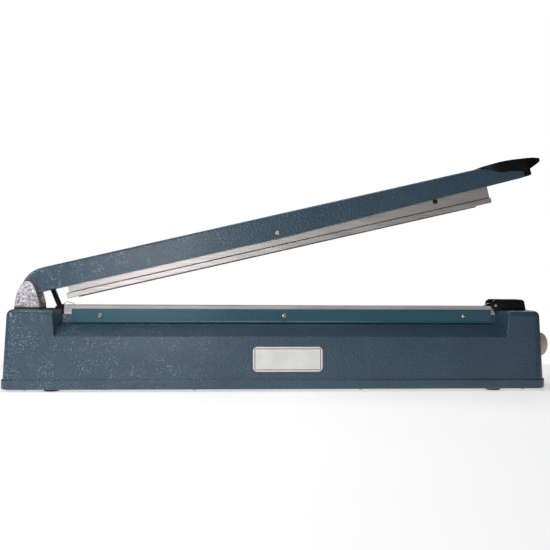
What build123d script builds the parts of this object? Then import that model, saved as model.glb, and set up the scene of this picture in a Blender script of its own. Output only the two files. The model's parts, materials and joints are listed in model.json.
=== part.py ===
from build123d import *
import os
from math import asin, atan2, cos, degrees, hypot, radians, sin, tan

# Impulse heat sealer, 600 mm class. A long cast base carries a heated bed; a hinged arm presses a
# bag's mouth onto it. Millimetres, +X along the base towards the timer, -Y is the front, +Z is up.
# Everything is drawn about the middle of the base. The frame's origin lies on the floor under the
# middle of the overall length, so every piece is shifted along X when it is written.

os.makedirs("parts", exist_ok=True)

# ---------------------------------------------------------------- driving dimensions: base
base_length = 755.0
base_width = 96.0
casing_top = 111.2
foot_height = 3.0
rim_height = 13.5
rim_corner = 16.0
rim_edge = 2.5
wall_step = 2.1
casing_draft = 3.3
casing_corner = 14.0
casing_edge = 8.5
casing_wall = 3.0
plate_thickness = 1.4
plate_gap = 0.5
plate_ledge = 1.5
plate_recess = 0.2
boss_radius = 4.5
boss_inset = 32.5
plate_screw_radius = 1.5
foot_radius = 11.0
foot_inset_left = 67.5
foot_inset_right = 72.5
foot_inset_side = 18.0
foot_screw_radius = 2.0
foot_screw_head = 3.6

# bed and the recess along each side of it
bed_inset_left = 81.0
bed_inset_right = 63.7
bed_half = 11.0
bed_depth = 6.9
bed_rise = 4.9
bed_end_slope = 7.0
bed_side_clearance = 0.5
bed_groove_half = 5.0
bed_groove_depth = 5.0
bed_screw_radius = 2.0
bed_screw_spacing = 244.0
ridge_drop = 18.7
ledge_drop = 36.4
ledge_inset = 5.5
end_gap_left = 2.2
end_gap_right = 1.5
recess_splay = 6.0
recess_lean = 4.5
recess_round = 1.2
tape_thickness = 0.25
tape_half = 8.0
element_thickness = 0.2
element_width = 4.0
cover_thickness = 0.3
cover_end_depth = 10.5
strip_margin_left = 10.6
strip_margin_right = 7.0
strip_drop = 4.5
strip_thickness = 1.4
strip_lip = 1.5
clamp_screw_radius = 1.5
clamp_screw_spacing = 257.0
clamp_head = 3.4

# element springs and terminals
element_spring = 0.6
element_spring_half = 2.6
arch_height = 4.2
arch_turn = 3.4
arch_length = 14.2
tail_slot_half = 3.2
tab_length = 15.0
terminal_drop = 8.0
terminal_half = 7.0
terminal_screw_radius = 1.5
terminal_screw_reach = 8.0

# ---------------------------------------------------------------- driving dimensions: arm
hinge_inset = 31.1
pivot_rise = 26.2
rest_angle = 13.1
arm_half = 19.0
arm_wall = 2.5
arm_edge = 3.0
arm_top = 25.8
arm_rise = 1.6
arm_bottom = -6.8
arm_nose_back = 7.0
arm_nose_length = 35.0
arm_overhang = 55.8
arm_end_bottom = 2.0
arm_end_top = 11.8
arm_end_slope = 67.0
bar_gap = 0.3
bar_overhang = 5.7
bar_half = 10.5
bar_rail_bottom = -23.7
bar_groove = -16.2
bar_slot_height = 5.9
bar_top = 12.0
web_half = 9.0
web_wall = 2.0
web_setback_left = 4.0
web_setback_right = 1.2
rubber_proud = 1.5
rubber_half = 3.6
rubber_end_gap = 2.0
bar_pin_offset = -3.1
bar_pin_w = 1.2
bar_pin_radius = 2.0
side_screw_inset = 79.8
side_screw_w = -4.8
side_screw_radius = 1.5
handle_side = 3.0
handle_screw_insets = (46.0, 18.0)
handle_screw_radius = 1.3
closing_gap = 0.05

# ---------------------------------------------------------------- driving dimensions: fittings
running_clearance = 0.05
thread_clearance = 0.03
hinge_pin_radius = 3.0
bush_wall = 1.5
hub_wall = 2.5
washer_thickness = 0.65
washer_clearance = 0.2
ear_thickness = 5.2
ear_chamfer = 1.0
ear_rise = 12.2
bracket_back = 15.4
bracket_front = 18.9
bracket_floor = 4.3
hinge_screw_radius = 2.0
hinge_screw_offsets = (-8.0, 12.0)
gasket_thickness = 3.0
gasket_margin = 0.6
spring_radius = 3.4
spring_wire = 1.2
spring_turns = 9
spring_foot_reach = 42.8
spring_foot_rise = 2.2
spring_head_reach = 29.6
spring_head_rise = 8.6
seat_peg_radius = 2.0
seat_stud_radius = 1.6
guide_length = 49.8
guide_gap = 0.1
guide_half = 18.0
guide_height = 15.1
guide_slot = 18.0
guide_chamfer = 2.2
guide_counterbore = 2.4
guide_screw_radius = 1.5
guide_screw_insets = (22.7, 7.7)
guide_side_screw_radius = 1.2
slot_clearance = 1.1
plunger_travel = 2.5
plunger_stem = 2.0
plunger_half = 8.0
plunger_clearance = 0.25
switch_button = 1.5
switch_length = 20.0
switch_height = 10.2
switch_half = 3.2
switch_depth = 5.5
switch_screw_radius = 1.2
switch_screw_stations = (5.5, 14.5)
switch_sheet = 1.2

# timer, lamp, cord entry, transformer
control_inset = 6.0
control_drop = 49.6
pad_width = 46.0
pad_height = 56.0
pad_rise = 6.0
lamp_rise = 26.0
lamp_radius = 4.0
dial_thickness = 0.8
knob_radius = 18.0
knob_height = 20.3
knob_gap = 0.6
knob_flutes = 24
shaft_radius = 3.0
panel_bush_radius = 4.0
panel_bush_length = 5.5
panel_nut_radius = 6.4
pot_radius = 8.5
pot_length = 9.0
pot_setback = 2.2
board_thickness = 1.6
grommet_inset = 55.5
grommet_z = 38.0
grommet_hole = 6.0
grommet_bore = 3.5
grommet_pad = 11.0
grommet_lip = 2.5
core_inset = 207.5
core_stack = 40.0
core_width = 66.0
core_height = 55.0
core_leg = 22.0
core_window = 11.0
coil_overhang = 10.0
coil_clearance = 0.5
core_bolt_radius = 2.0
core_bolt_x = 27.0
core_bolt_y = 20.0
core_strap = 1.5
lead_radius = 1.2
label_size = (96.0, 34.0)
label_place = (13.0, 44.0)
label_thickness = 0.2

# ---------------------------------------------------------------- derived: base and bed
half_length = base_length / 2
plate_top = foot_height + plate_thickness + plate_recess
plate_under = plate_top - plate_thickness
rim_top = foot_height + rim_height
wall_length = base_length - 2 * wall_step
wall_width = base_width - 2 * wall_step
plate_corner = rim_corner - 4
boss_y = wall_width / 2 - casing_wall - 3.6
boss_outer = half_length - boss_inset
boss_stations = (-boss_outer, -boss_outer / 3, boss_outer / 3, boss_outer)
foot_y = base_width / 2 - foot_inset_side
foot_stations = (foot_inset_left - half_length, half_length - foot_inset_right)
foot_spots = [(x, y) for x in foot_stations for y in (-foot_y, foot_y)]

bed_left = bed_inset_left - half_length
bed_right = half_length - bed_inset_right
bed_length = bed_right - bed_left
bed_middle = (bed_left + bed_right) / 2
bed_bottom = casing_top - bed_depth
bed_bar_top = casing_top + bed_rise
bed_screws = [bed_middle + k * bed_screw_spacing for k in (-1, 0, 1)]
ridge_foot = casing_top - ridge_drop
ledge_height = casing_top - ledge_drop
ledge_half = base_width / 2 - ledge_inset
recess_left = bed_left - end_gap_left
recess_right = bed_right + end_gap_right
element_bottom = bed_bar_top + tape_thickness
element_top = element_bottom + element_thickness
cover_inside = element_top + 0.05
bed_top = cover_inside + cover_thickness
strip_inner = bed_half + cover_thickness
strip_outer = strip_inner + strip_thickness
strip_left = bed_left + strip_margin_left
strip_right = bed_right - strip_margin_right
strip_top = bed_bar_top - strip_drop
strip_bottom = ridge_foot + 0.3
strip_middle = (strip_left + strip_right) / 2
clamp_screw_z = (strip_top + strip_bottom) / 2
clamp_screws_x = [strip_middle + k * clamp_screw_spacing for k in (-1, 0, 1)]
tail_left = bed_left - end_gap_left / 2
tail_right = bed_right + end_gap_right / 2
arch_left = tail_left + arch_length
arch_right = tail_right - arch_length
terminal_z = bed_bottom - casing_wall - terminal_drop

# ---------------------------------------------------------------- derived: hinge and arm
pivot_x = hinge_inset - half_length
pivot_z = casing_top + pivot_rise
bush_radius = hinge_pin_radius + bush_wall
hub_radius = bush_radius + hub_wall
pin_boss_radius = hinge_pin_radius + 1.4
ear_inner = arm_half + washer_clearance + washer_thickness
hinge_half = ear_inner + ear_thickness
hinge_x0 = pivot_x - bracket_back
hinge_x1 = pivot_x + bracket_front
hinge_foot = casing_top + gasket_thickness
hinge_floor = hinge_foot + bracket_floor
hinge_screw_y = ear_inner - 7.85
hinge_screws = [(pivot_x + dx, dy) for dx in hinge_screw_offsets for dy in (-hinge_screw_y, hinge_screw_y)]
bar_start = bed_left - pivot_x + bar_gap
bar_length = bed_length + bar_overhang
bar_end = bar_start + bar_length
bar_pin_u = bar_start + bar_length / 2 + bar_pin_offset
bar_slot_top = bar_rail_bottom + bar_slot_height
side_screw_u = bar_end - side_screw_inset
rubber_bottom = bar_rail_bottom - rubber_proud
arm_length = bar_end + arm_overhang
arm_taper_start = bar_pin_u + 9.9
arm_drop_start = arm_length - arm_end_slope
handle_half = arm_half + handle_side
handle_screw_stations = [arm_length - inset for inset in handle_screw_insets]

# The press bar rocks on one pin at the middle of the arm, so that it levels itself on the bed.
# The arm is closed when the bar lies flat on the bed.
pin_distance = hypot(bar_pin_u, bar_pin_w)
pin_height_closed = bed_top + closing_gap + bar_pin_w - rubber_bottom
pin_angle_closed = asin((pin_height_closed - pivot_z) / pin_distance)
closed_tilt = degrees(pin_angle_closed - atan2(bar_pin_w, bar_pin_u))
arm_travel = rest_angle - closed_tilt
pin_x_closed = pivot_x + pin_distance * cos(pin_angle_closed)

# return spring, from its seat beside the bed up to the stud under the arm's roof
spring_foot = (pivot_x + spring_foot_reach, casing_top + spring_foot_rise)
spring_head = (pivot_x + spring_head_reach, pivot_z + spring_head_rise)
spring_lean = degrees(atan2(spring_foot[0] - spring_head[0], spring_head[1] - spring_foot[1]))
spring_length = hypot(spring_foot[0] - spring_head[0], spring_head[1] - spring_foot[1])
spring_outside = spring_radius + spring_wire / 2
spring_seat_x = spring_foot[0] - 1.0
rest_turn = radians(rest_angle)
seat_u = spring_head_reach * cos(rest_turn) + spring_head_rise * sin(rest_turn)
seat_w = spring_head_rise * cos(rest_turn) - spring_head_reach * sin(rest_turn)
seat_tilt = rest_angle - spring_lean

# ---------------------------------------------------------------- derived: guide, switch, controls
guide_left = strip_right + guide_gap
guide_right = guide_left + guide_length
guide_top = casing_top + guide_height
guide_screws = [(guide_right - inset, 0.0) for inset in guide_screw_insets]
guide_side_screw_x = guide_left + 5.4
guide_side_screw_z = casing_top + 6.5
slot_half = max(bar_half + slot_clearance, strip_inner + cover_thickness)
slot_end = guide_left + guide_slot
plunger_left = recess_right + 0.6
plunger_right = slot_end - 1.0
plunger_x = plunger_right - 2.6
head_top = bed_top + rubber_proud - 0.3
head_bottom = casing_top + plunger_travel + 0.7
switch_top = casing_top - casing_wall - switch_depth
switch_left = plunger_x - 3.0
switch_screw_z = switch_top - 7.2

pad_face = half_length - control_inset
knob_axis_z = casing_top - control_drop
pad_middle = knob_axis_z + pad_rise
lamp_z = knob_axis_z + lamp_rise
dial_face = pad_face + dial_thickness
knob_base = dial_face + knob_gap
knob_face = dial_face + knob_height
bush_end = pad_face + panel_bush_length
panel_inside = pad_face - casing_wall - pot_setback
pot_left = panel_inside - pot_length
board_x = pot_left - board_thickness
frame_shift = -(knob_face - half_length) / 2

grommet_x = half_length - grommet_inset
grommet_face = wall_width / 2
core_x = half_length - core_inset
core_low = plate_top + core_strap
core_top = core_low + core_height
core_bolts = [(core_x + dx, dy) for dx in (-core_bolt_x, core_bolt_x) for dy in (-core_bolt_y, core_bolt_y)]
coil_reach = core_stack / 2 + coil_overhang
coil_mid = core_low + core_height / 2


def save(name, shape):
    """Writes one node, moved from the base's middle to the frame's origin."""
    export_step(Pos(frame_shift, 0, 0) * shape, f"parts/{name}.step")


def arm_place(shape):
    """Turns a piece drawn in the arm's own frame (pivot at the origin) up to the rest pose."""
    return Pos(pivot_x, 0, pivot_z) * Rot(0, -rest_angle, 0) * shape


def slab(points, half, middle=0.0):
    """Prism of an XZ outline, reaching half each side of the plane Y = middle."""
    face = Plane.XZ.offset(-middle) * Polygon(*points, align=None)
    return extrude(face, amount=half, both=True)


def along_x(points, start, end):
    """Prism of a YZ outline between two X stations."""
    face = Plane.YZ.offset(start) * Polygon(*points, align=None)
    return extrude(face, amount=end - start, dir=(1, 0, 0))


def block(x0, x1, y0, y1, z0, z1):
    """Box between opposite corners."""
    return Pos((x0 + x1) / 2, (y0 + y1) / 2, (z0 + z1) / 2) * Box(x1 - x0, y1 - y0, z1 - z0)


def rod_x(radius, x0, x1, y, z):
    """Cylinder along X."""
    return Pos((x0 + x1) / 2, y, z) * Rot(0, 90, 0) * Cylinder(radius, x1 - x0)


def rod_y(radius, x, y0, y1, z):
    """Cylinder along Y."""
    return Pos(x, (y0 + y1) / 2, z) * Rot(90, 0, 0) * Cylinder(radius, abs(y1 - y0))


def rod_z(radius, x, y, z0, z1):
    """Cylinder along Z."""
    return Pos(x, y, (z0 + z1) / 2) * Cylinder(radius, z1 - z0)


def machine_screw(hole, length, head, head_height):
    """Slotted pan-head screw for a hole's radius: head's underside on Z = 0, shank running down."""
    top = Pos(0, 0, head_height / 2) * Cylinder(head, head_height)
    top = fillet(top.edges().group_by(Axis.Z)[-1], head_height * 0.45)
    top -= Pos(0, 0, head_height) * Box(head * 3, head * 0.28, head_height * 0.9)
    return top + Pos(0, 0, -length / 2) * Cylinder(hole - thread_clearance, length)


# ---------------------------------------------------------------- base casing
def wall_inset(z):
    """How far the drafted wall has leaned in at a height."""
    return (z - rim_top) * tan(radians(casing_draft))


def casing_body(inset, top, foot):
    """Drafted block with rounded corners, inset from the outer wall, from foot to top."""
    sketch = Pos(0, 0, rim_top) * RectangleRounded(
        wall_length - 2 * inset, wall_width - 2 * inset, casing_corner - inset)
    body = extrude(sketch, amount=top - rim_top, taper=casing_draft)
    low = Pos(0, 0, foot) * RectangleRounded(
        wall_length - 2 * inset, wall_width - 2 * inset, casing_corner - inset)
    return body + extrude(low, amount=rim_top - foot)


def recess(grow):
    """Material cut away beside the bed, at the rear; grow > 0 gives the skin left under it."""
    ridge = bed_half - grow
    drop = (ridge_foot - ledge_height) / (ledge_half - bed_half)
    far = base_width
    lower = grow * hypot(1, drop)
    ridge_z = ridge_foot + drop * grow - lower
    far_z = ledge_height - drop * (far - ledge_half) - lower
    high = casing_top + 30
    prism = along_x([(ridge, high), (ridge, ridge_z), (far, far_z), (far, high)],
                    recess_left - 80, recess_right + 80)
    plans = []
    for z in (far_z - 1, high + 1):
        share = (z - ledge_height) / (casing_top - ledge_height)
        splay = (recess_splay + recess_lean * share) * (far - ridge) / (ledge_half - bed_half)
        corners = [
            (recess_left - grow, ridge),
            (recess_right + grow, ridge),
            (recess_right + grow + splay, far),
            (recess_left - grow - splay, far),
        ]
        plans.append(Pos(0, 0, z) * Polygon(*corners, align=None))
    return prism & loft(plans)


def recess_rims(shape):
    """Edges of the rear recess that the casting rounds: the ledge, and the rims of both end walls."""
    rims = []
    for edge in shape.edges():
        box = edge.bounding_box()
        rear = edge.center().Y > bed_half
        near_ends = box.min.X > recess_left - 30 and box.max.X < recess_right + 30
        ledge = box.max.Z < ledge_height + 3 and edge.length > bed_length
        corner = box.size.Z > 20 and box.min.Y > ledge_half - 5
        top = abs(box.min.Z - casing_top) < 0.01 and box.min.Y > bed_half - 0.1
        if rear and near_ends and (ledge or corner or top):
            rims.append(edge)
    return rims


def bed_channel(grow):
    """Space over the ridge in which the bed bar sits."""
    half = bed_half + bed_side_clearance
    return block(recess_left - grow, recess_right + grow, -half, half, bed_bottom - grow, casing_top + 30)


def pad_prism(start, end, margin=0.0):
    """Rounded outline of the control pad between two X stations."""
    face = Plane.YZ.offset(start) * Pos(0, pad_middle) * RectangleRounded(
        pad_width - 2 * margin, pad_height - 2 * margin, 8 - margin)
    return extrude(face, amount=end - start, dir=(1, 0, 0))


def base_casing():
    rim = Pos(0, 0, foot_height) * RectangleRounded(base_length, base_width, rim_corner)
    rim = extrude(rim, amount=rim_height)
    rim = fillet(rim.edges().group_by(Axis.Z)[0], rim_edge)
    rim = fillet(rim.edges().group_by(Axis.Z)[-1], wall_step - 0.2)
    outer = casing_body(0, casing_top, foot_height + 3)
    outer = fillet(outer.edges().group_by(Axis.Z)[-1], casing_edge)
    outer -= bed_channel(0)
    outer -= recess(0)
    outer = fillet(recess_rims(outer), recess_round)
    outer = mirror(outer, about=Plane.XZ)
    outer -= recess(0)
    outer = fillet(recess_rims(outer), recess_round)
    inner = casing_body(casing_wall, casing_top - casing_wall, foot_height - 1)
    inner -= bed_channel(casing_wall)
    inner -= recess(casing_wall)
    inner -= mirror(recess(casing_wall), about=Plane.XZ)
    outer += rim
    outer += rod_y(grommet_pad, grommet_x, grommet_face - 8, grommet_face, grommet_z)
    casing = outer - inner
    casing += pad_prism(pad_face - casing_wall, pad_face)
    casing -= pad_prism(pad_face, half_length)
    seat = Pos(0, 0, foot_height - 1) * RectangleRounded(
        wall_length - 2 * plate_ledge, wall_width - 2 * plate_ledge, plate_corner)
    casing -= extrude(seat, amount=plate_top - foot_height + 1)
    for x in boss_stations:
        for side in (-1, 1):
            casing += rod_z(boss_radius, x, side * boss_y, plate_top, plate_top + 30)
            casing -= rod_z(plate_screw_radius, x, side * boss_y, plate_top - 1, plate_top + 12)
    for x, y in hinge_screws:
        casing -= rod_z(hinge_screw_radius, x, y, casing_top - 10, casing_top + 1)
    for x, y in guide_screws:
        casing -= rod_z(guide_screw_radius, x, y, casing_top - 10, casing_top + 1)
    for x in bed_screws:
        casing -= rod_z(bed_screw_radius, x, 0, bed_bottom - 10, bed_bottom + 1)
    casing -= rod_z(seat_peg_radius, spring_seat_x, 0, casing_top - 10, casing_top + 1)
    casing -= rod_z(plunger_stem + plunger_clearance, plunger_x, 0, casing_top - 10, casing_top + 1)
    for x in (tail_left, tail_right):
        casing -= block(x - 1.4, x + 1.4, -tail_slot_half, tail_slot_half, bed_bottom - 10, casing_top + 1)
    for x in clamp_screws_x:
        casing -= rod_y(clamp_screw_radius, x, -bed_half - 1, bed_half + 1, clamp_screw_z)
    casing -= rod_x(panel_bush_radius + 0.1, pad_face - 20, pad_face + 1, 0, knob_axis_z)
    casing -= rod_x(lamp_radius + 0.1, pad_face - 20, pad_face + 1, 0, lamp_z)
    casing -= rod_y(grommet_hole, grommet_x, wall_width / 2 - 20, grommet_face + 1, grommet_z)
    return casing


# ---------------------------------------------------------------- base plate, feet
def base_plate():
    shrink = 2 * (plate_ledge + plate_gap)
    sketch = Pos(0, 0, plate_under) * RectangleRounded(
        wall_length - shrink, wall_width - shrink, plate_corner - plate_gap)
    plate = extrude(sketch, amount=plate_thickness)
    for x in boss_stations:
        for side in (-1, 1):
            plate -= rod_z(plate_screw_radius + 0.2, x, side * boss_y, 0, plate_top + 1)
    for x, y in foot_spots:
        plate -= rod_z(foot_screw_radius, x, y, 0, plate_top + 1)
    for x, y in core_bolts:
        plate -= rod_z(core_bolt_radius, x, y, 0, plate_top + 1)
    for k in range(-3, 4):
        for j in range(-2, 3):
            vent = Pos(core_x + 8 * k, 9 * j, plate_top - 5) * Rot(0, 0, 90) * SlotOverall(6, 2.4)
            plate -= extrude(vent, amount=10)
    return plate


def base_plate_screws():
    screws = []
    for x in boss_stations:
        for side in (-1, 1):
            screw = machine_screw(plate_screw_radius, 9, 2.8, 1.8)
            screws.append(Pos(x, side * boss_y, plate_under) * Rot(180, 0, 0) * screw)
    return Compound(screws)


def rubber_feet():
    feet = []
    for x, y in foot_spots:
        foot = Pos(x, y, plate_under / 2) * Cone(foot_radius - 1, foot_radius, plate_under)
        foot = fillet(foot.edges().group_by(Axis.Z)[0], 0.8)
        foot -= rod_z(foot_screw_radius, x, y, -1, plate_under + 1)
        foot -= rod_z(foot_screw_head + 0.3, x, y, -1, plate_under / 2)
        feet.append(foot)
    return Compound(feet)


def foot_screws():
    screws = []
    for x, y in foot_spots:
        screw = machine_screw(foot_screw_radius, plate_top + 1.5, foot_screw_head, 1.2)
        screws.append(Pos(x, y, plate_under / 2) * Rot(180, 0, 0) * screw)
    return Compound(screws)


# ---------------------------------------------------------------- heated bed
def bed_outline(half, low, high, left, right, slope):
    """Bar along X whose right-hand end slopes down from high."""
    points = [(left, low), (right, low), (right, high - 10), (right - slope, high), (left, high)]
    return slab(points, half)


def bed_bar():
    bar = bed_outline(bed_half, bed_bottom, bed_bar_top, bed_left, bed_right - cover_thickness, bed_end_slope)
    groove_top = bed_bottom + bed_groove_depth
    bar -= block(bed_left - 1, bed_right + 1, -bed_groove_half, bed_groove_half, bed_bottom - 1, groove_top)
    for x in bed_screws:
        bar += rod_z(bed_groove_half - 0.6, x, 0, bed_bottom, groove_top)
        bar -= rod_z(bed_screw_radius, x, 0, bed_bottom - 1, groove_top + 3)
    return bar


def bed_bar_screws():
    under = bed_bottom - casing_wall
    screws = []
    for x in bed_screws:
        screw = machine_screw(bed_screw_radius, casing_wall + bed_groove_depth + 2, 3.6, 2.4)
        screws.append(Pos(x, 0, under) * Rot(180, 0, 0) * screw)
    return Compound(screws)


def insulating_tape():
    right = bed_right - bed_end_slope - 1
    return block(bed_left, right, -tape_half, tape_half, bed_bar_top, element_bottom)


def tension_spring():
    """Left-hand spring with its tail on X = 0: up the bed's end, over an arch, down to the seal line."""
    t = element_spring
    crest = bed_top + arch_height
    low = element_top + 0.02
    turn = arch_turn
    drop = crest - low - t
    reach = arch_left - tail_left - turn
    radius = (reach ** 2 + drop ** 2) / (2 * drop)
    sweep_angle = degrees(asin(reach / radius))
    base = crest - t / 2 - turn
    outer_turn = JernArc((-t / 2, base), (0, 1), turn + t / 2, -90)
    inner_turn = JernArc((t / 2, base), (0, 1), turn - t / 2, -90)
    outer_fall = JernArc(outer_turn @ 1, (1, 0), radius + t / 2, -sweep_angle)
    inner_fall = JernArc(inner_turn @ 1, (1, 0), radius - t / 2, -sweep_angle)
    toe = Line(outer_fall @ 1, inner_fall @ 1)
    heel = Line(outer_turn @ 0, inner_turn @ 0)
    face = make_face([outer_turn, outer_fall, toe, inner_fall, inner_turn, heel])
    arch = extrude(Plane.XZ * face, amount=element_spring_half, both=True)
    tail = block(-t / 2, t / 2, -element_spring_half, element_spring_half, terminal_z - t, base)
    tab = block(-t / 2, tab_length, -element_spring_half, element_spring_half, terminal_z - t, terminal_z)
    tab -= rod_z(terminal_screw_radius, terminal_screw_reach, 0, terminal_z - 2, terminal_z + 1)
    return arch + tail + tab


def element_springs():
    left = Pos(tail_left, 0, 0) * tension_spring()
    right = Pos(tail_right, 0, 0) * mirror(tension_spring(), about=Plane.YZ)
    return Compound([left, right])


def heating_element():
    return block(arch_left, arch_right, -element_width / 2, element_width / 2, element_bottom, element_top)


def terminal_blocks():
    blocks = []
    for outer, sign in ((tail_left, 1), (tail_right, -1)):
        low, high = sorted((outer - sign * 3.5, outer + sign * 14))
        body = block(low, high, -terminal_half, terminal_half, terminal_z, bed_bottom - casing_wall)
        slot = tail_slot_half - 0.2
        body -= block(outer - 0.5, outer + 0.5, -slot, slot, terminal_z - 1, bed_bottom)
        body -= rod_z(terminal_screw_radius, outer + sign * terminal_screw_reach, 0,
                      terminal_z - 1, terminal_z + 5)
        blocks.append(body)
    return Compound(blocks)


def terminal_screws():
    screws = []
    for outer, sign in ((tail_left, 1), (tail_right, -1)):
        screw = machine_screw(terminal_screw_radius, 5, 2.8, 1.8)
        x = outer + sign * terminal_screw_reach
        screws.append(Pos(x, 0, terminal_z - element_spring) * Rot(180, 0, 0) * screw)
    return Compound(screws)


def ptfe_cover():
    """Thin cloth folded over the bar, down both sides and over the sloped right-hand end."""
    t = cover_thickness
    outer = bed_outline(bed_half + t, strip_bottom + 3, bed_top, bed_left, bed_right, bed_end_slope)
    core = bed_outline(bed_half, strip_bottom, cover_inside, bed_left - 1, bed_right - t, bed_end_slope)
    cover = outer - core
    cover -= block(bed_left - 1, bed_right + 1, -bed_half, bed_half, strip_bottom, bed_top - 9.8)
    for x0, x1 in ((bed_left - 1, strip_left - 1), (strip_right + 1, bed_right + 1)):
        cover -= block(x0, x1, -strip_inner - 1, strip_inner + 1, strip_bottom, bed_top - cover_end_depth)
    window = element_spring_half + 0.3
    for inner, outer_x in ((arch_left, tail_left), (arch_right, tail_right)):
        x0 = min(inner, outer_x) - 0.5
        x1 = max(inner, outer_x) + 0.5
        cover -= block(x0, x1, -window, window, bed_top - 8, bed_top + 1)
    for x in clamp_screws_x:
        cover -= rod_y(clamp_screw_radius, x, -bed_half - 2, bed_half + 2, clamp_screw_z)
    return cover


def clamp_strip(side):
    section = [
        (strip_inner, strip_top),
        (strip_inner, strip_bottom),
        (strip_outer + strip_lip, strip_bottom),
        (strip_outer + strip_lip, strip_bottom + 1.0),
        (strip_outer, strip_bottom + 2.2),
        (strip_outer, strip_top - 0.5),
        (strip_outer - 0.5, strip_top),
    ]
    strip = along_x(section, strip_left, strip_right)
    for x in clamp_screws_x:
        strip -= rod_y(clamp_screw_radius, x, 0, strip_outer + 5, clamp_screw_z)
    return strip if side > 0 else mirror(strip, about=Plane.XZ)


def clamp_screws():
    screws = []
    for x in clamp_screws_x:
        for side in (-1, 1):
            reach = strip_outer - bed_half + casing_wall + 1.5
            screw = machine_screw(clamp_screw_radius, reach, clamp_head, 1.8)
            turn = Rot(0, 0, 30 + 50 * len(screws))
            screws.append(Pos(x, side * strip_outer, clamp_screw_z) * Rot(-90 * side, 0, 0) * turn * screw)
    return Compound(screws)


# ---------------------------------------------------------------- hinge
def hinge_gasket():
    gasket = Pos((hinge_x0 + hinge_x1) / 2, 0, casing_top) * RectangleRounded(
        hinge_x1 - hinge_x0 + 2 * gasket_margin, 2 * (hinge_half + gasket_margin), 2.5)
    gasket = extrude(gasket, amount=gasket_thickness)
    gasket = fillet(gasket.edges().group_by(Axis.Z)[-1], 0.8)
    for x, y in hinge_screws:
        gasket -= rod_z(hinge_screw_radius, x, y, casing_top - 1, casing_top + 9)
    return gasket


def hinge_bracket():
    x0 = hinge_x0
    x1 = hinge_x1
    ear = [
        (x0, hinge_foot),
        (x1, hinge_foot),
        (x1, hinge_foot + 5.0),
        (x1 - 3.5, pivot_z - 5.0),
        (x1 - 7.0, pivot_z + 5.4),
        (x1 - 12.6, pivot_z + ear_rise),
        (x0 + 14.0, pivot_z + ear_rise),
        (x0 + 8.5, pivot_z + 6.6),
        (x0 + 3.5, pivot_z - 3.9),
        (x0 + 1.6, hinge_foot + 12.0),
    ]
    sides = []
    for side in (-1, 1):
        y = side * (ear_inner + ear_thickness / 2)
        plate = slab(ear, ear_thickness / 2, y)
        outer_face = plate.faces().sort_by(Axis.Y)[0 if side < 0 else -1]
        plate = chamfer(outer_face.edges().filter_by(lambda e: e.center().Z > hinge_foot + 1), ear_chamfer)
        plate += rod_y(pin_boss_radius, pivot_x, side * (hinge_half - 1), side * (hinge_half + 0.8), pivot_z)
        sides.append(plate)
    bracket = block(x0, x1, -ear_inner - 1, ear_inner + 1, hinge_foot, hinge_floor) + sides[0] + sides[1]
    bracket -= rod_y(hinge_pin_radius, pivot_x, -hinge_half - 5, hinge_half + 5, pivot_z)
    for x, y in hinge_screws:
        bracket -= rod_z(hinge_screw_radius, x, y, hinge_foot - 1, hinge_floor + 1)
    return bracket


def hinge_bracket_screws():
    screws = []
    for x, y in hinge_screws:
        screw = machine_screw(hinge_screw_radius, hinge_floor - casing_top + casing_wall + 2, 3.8, 2.4)
        screws.append(Pos(x, y, hinge_floor) * Rot(0, 0, 35 * (1 + len(screws))) * screw)
    return Compound(screws)


def hinge_pin():
    pin = rod_y(hinge_pin_radius, pivot_x, -hinge_half - 0.3, hinge_half + 0.3, pivot_z)
    return chamfer(pin.edges(), 0.4)


def hinge_washers():
    washers = []
    for side in (-1, 1):
        ring = rod_y(hub_radius, pivot_x, side * (arm_half + washer_clearance), side * ear_inner, pivot_z)
        ring -= rod_y(hinge_pin_radius + thread_clearance, pivot_x, -30, 30, pivot_z)
        washers.append(ring)
    return Compound(washers)


# ---------------------------------------------------------------- return spring
def spring_axis(shape):
    """Stands a piece drawn on the Z axis on the spring's foot, along the spring."""
    return Pos(spring_foot[0], 0, spring_foot[1]) * Rot(0, -spring_lean, 0) * shape


def spring_seat():
    x0 = spring_foot[0] - 6.2
    x1 = spring_foot[0] + 5.0
    seat = slab([(x0, casing_top), (x1, casing_top), (x1, casing_top + 6.8),
                 (x0 + 3.5, casing_top + 4.6), (x0, casing_top + 3.0)], 6.5)
    seat = fillet(seat.edges().filter_by(Axis.Z), 1.5)
    seat -= spring_axis(Pos(0, 0, 15) * Cylinder(spring_outside + 0.3, 30))
    return seat + rod_z(seat_peg_radius, spring_seat_x, 0, casing_top - casing_wall - 1.5, casing_top)


def return_spring():
    height = spring_length - spring_wire
    helix = Helix(pitch=height / spring_turns, height=height, radius=spring_radius)
    helix = Pos(0, 0, spring_wire / 2) * helix
    start = Plane(helix @ 0, z_dir=helix % 0)
    coil = sweep(start * Circle(spring_wire / 2), path=helix)
    return spring_axis(coil)


# ---------------------------------------------------------------- guide, switch
def guide_block():
    profile = [
        (guide_left + 4.9, casing_top),
        (guide_right, casing_top),
        (guide_right - 3.0, guide_top),
        (guide_left + 2.7, guide_top),
        (guide_left, casing_top + 6.6),
    ]
    body = slab(profile, guide_half)
    body = chamfer(body.faces().sort_by(Axis.Z)[-1].edges(), guide_chamfer)
    body = fillet(body.edges().filter_by(lambda e: abs(e.center().Y) > guide_half - 0.1
                                         and e.center().X > guide_right - 5), 1.5)
    body -= block(guide_left - 5, slot_end, -slot_half, slot_half, casing_top - 1, guide_top + 1)
    for x, y in guide_screws:
        body -= rod_z(guide_screw_radius, x, y, casing_top - 1, guide_top + 1)
        body -= rod_z(3.2, x, y, guide_top - guide_counterbore, guide_top + 1)
    for side in (-1, 1):
        body -= rod_y(guide_side_screw_radius, guide_side_screw_x, side * (slot_half + 1),
                      side * (guide_half + 1), guide_side_screw_z)
    return body


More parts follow.
